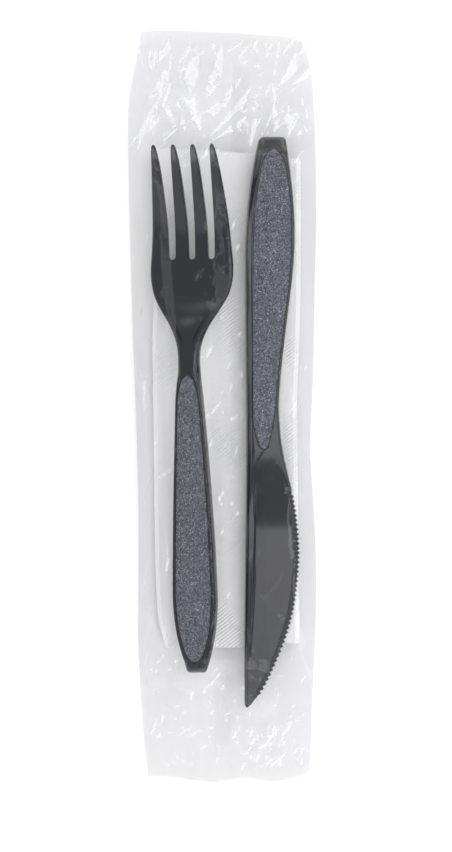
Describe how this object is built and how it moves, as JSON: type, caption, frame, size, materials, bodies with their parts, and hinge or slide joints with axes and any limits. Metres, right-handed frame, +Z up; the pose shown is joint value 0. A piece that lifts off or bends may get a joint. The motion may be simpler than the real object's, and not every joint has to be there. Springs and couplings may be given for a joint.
{
  "type": "plastic cutlery pack",
  "caption": "Clear film sleeve, sealed across both ends and along its back, holding a moulded fork and a moulded knife side by side on a folded paper napkin.",
  "frame": {"origin": "on the flat underside that the pack lies on, under the middle of the sleeve's length and width", "axes": "+Y along the pack towards the fork's tines and the knife's handle end, +X across it from the fork to the knife, +Z up out of the face that shows the cutlery"},
  "size_m": [0.0628, 0.2505, 0.0221],
  "materials": {
    "film": "clear and thin, with sharp creases",
    "tissue": "soft embossed tissue",
    "black_plastic": "glossy, with grained panels in the handles"
  },
  "bodies": {
    "root": {"film_sleeve": "film", "napkin": "tissue", "fork": "black_plastic", "knife": "black_plastic"}
  },
  "joints": []
}
